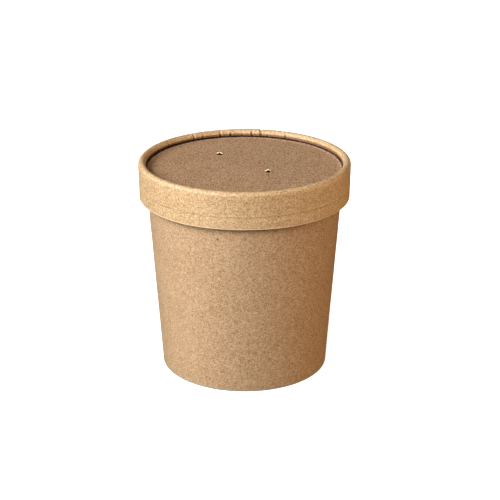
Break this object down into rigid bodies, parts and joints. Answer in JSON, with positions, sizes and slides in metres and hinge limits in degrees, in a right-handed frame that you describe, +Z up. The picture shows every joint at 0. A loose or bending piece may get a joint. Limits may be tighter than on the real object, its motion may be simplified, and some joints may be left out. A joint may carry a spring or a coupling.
{
  "type": "paper soup cup with lid",
  "caption": "Round kraft paperboard soup cup with a rolled rim and a recessed base, closed by a press-on paper lid with a hemmed band and pierced steam vents.",
  "frame": {"origin": "centre of the foot on the table", "axes": "+Z up along the cup's axis; -Y faces the viewer of the picture"},
  "size_m": [0.1008, 0.1012, 0.1034],
  "materials": {
    "cup_board": "uncoated brown kraft board, matte, fine mottled fibres",
    "base_board": "uncoated brown kraft board, matte",
    "band_board": "uncoated brown kraft board, matte, a little lighter and yellower than the cup",
    "disc_board": "uncoated brown kraft board, matte, fine mottled fibres"
  },
  "bodies": {
    "cup": {"cup_wall": "cup_board", "cup_base": "base_board"},
    "lid": {"lid_band": "band_board", "lid_panel": "disc_board"}
  },
  "joints": [
    {"name": "lid_lift", "type": "slide", "parent": "cup", "child": "lid", "axis": [0, 0, 1], "range_m": [0, 0.06]}
  ]
}
